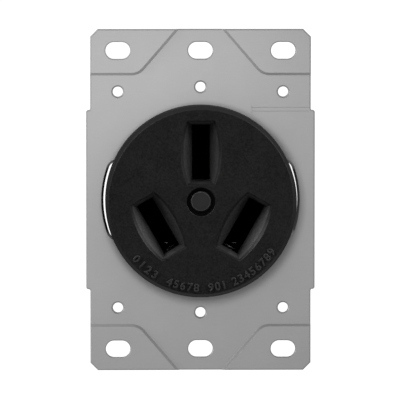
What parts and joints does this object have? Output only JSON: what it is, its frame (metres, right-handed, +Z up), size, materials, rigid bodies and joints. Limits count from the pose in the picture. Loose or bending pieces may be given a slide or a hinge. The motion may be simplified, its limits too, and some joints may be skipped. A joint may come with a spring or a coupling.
{
  "type": "flush mount power receptacle",
  "caption": "Round-faced heavy-duty power receptacle with straight blade slots on a flat steel mounting strap, for flush mounting in a wall box, with rear-wired clamp terminals.",
  "frame": {"origin": "centre of the four corner box slots, in the plane of the back of the strap's ears, which lies on the wall box; the axis of the round face passes through it", "axes": "+X to the right and +Z up as seen from the front, +Y into the wall; the face looks toward -Y"},
  "size_m": [0.0638, 0.0408, 0.0952],
  "materials": {
    "plated_steel": "matt zinc plating",
    "black_plastic": "fine-textured moulding",
    "housing_plastic": "plain moulding",
    "black_metal": "blackened, satin",
    "bright_steel": "zinc plated",
    "contact_brass": "as rolled",
    "lug_brass": "satin",
    "brass_screw": "satin",
    "silver_screw": "nickel plated"
  },
  "bodies": {
    "receptacle": {"mounting_strap": "plated_steel", "face_cover": "black_plastic", "contact_carrier": "housing_plastic", "back_cover": "housing_plastic", "centre_rivet": "black_metal", "rivet_washer": "bright_steel", "housing_screws": "bright_steel", "neutral_contact": "contact_brass", "neutral_spring": "bright_steel", "neutral_lug": "lug_brass", "left_contact": "contact_brass", "left_spring": "bright_steel", "left_lug": "lug_brass", "right_contact": "contact_brass", "right_spring": "bright_steel", "right_lug": "lug_brass"},
    "neutral_plate": {"neutral_clamp_plate": "bright_steel"},
    "neutral_screw": {"neutral_clamp_screw": "silver_screw"},
    "left_plate": {"left_clamp_plate": "bright_steel"},
    "left_screw": {"left_clamp_screw": "brass_screw"},
    "right_plate": {"right_clamp_plate": "bright_steel"},
    "right_screw": {"right_clamp_screw": "brass_screw"}
  },
  "joints": [
    {"name": "neutral_clamp_slide", "type": "slide", "parent": "receptacle", "child": "neutral_plate", "axis": [0, 0, -1], "range_m": [0, 0.004]},
    {"name": "neutral_screw_turn", "type": "hinge", "parent": "neutral_plate", "child": "neutral_screw", "pos_m": [0, 0.0217, 0.01245], "axis": [0, 0, -1], "range_deg": [0, 1588]},
    {"name": "left_clamp_slide", "type": "slide", "parent": "receptacle", "child": "left_plate", "axis": [1, 0, 0], "range_m": [0, 0.004]},
    {"name": "left_screw_turn", "type": "hinge", "parent": "left_plate", "child": "left_screw", "pos_m": [-0.00845, 0.0217, -0.0094], "axis": [1, 0, 0], "range_deg": [0, 1588]},
    {"name": "right_clamp_slide", "type": "slide", "parent": "receptacle", "child": "right_plate", "axis": [-1, 0, 0], "range_m": [0, 0.004]},
    {"name": "right_screw_turn", "type": "hinge", "parent": "right_plate", "child": "right_screw", "pos_m": [0.00845, 0.0217, -0.0094], "axis": [-1, 0, 0], "range_deg": [0, 1588]}
  ],
  "couplings": [
    {"joint": "neutral_screw_turn", "follows": "neutral_clamp_slide", "rad_per_m": 6926.3},
    {"joint": "left_screw_turn", "follows": "left_clamp_slide", "rad_per_m": 6926.3},
    {"joint": "right_screw_turn", "follows": "right_clamp_slide", "rad_per_m": 6926.3}
  ]
}
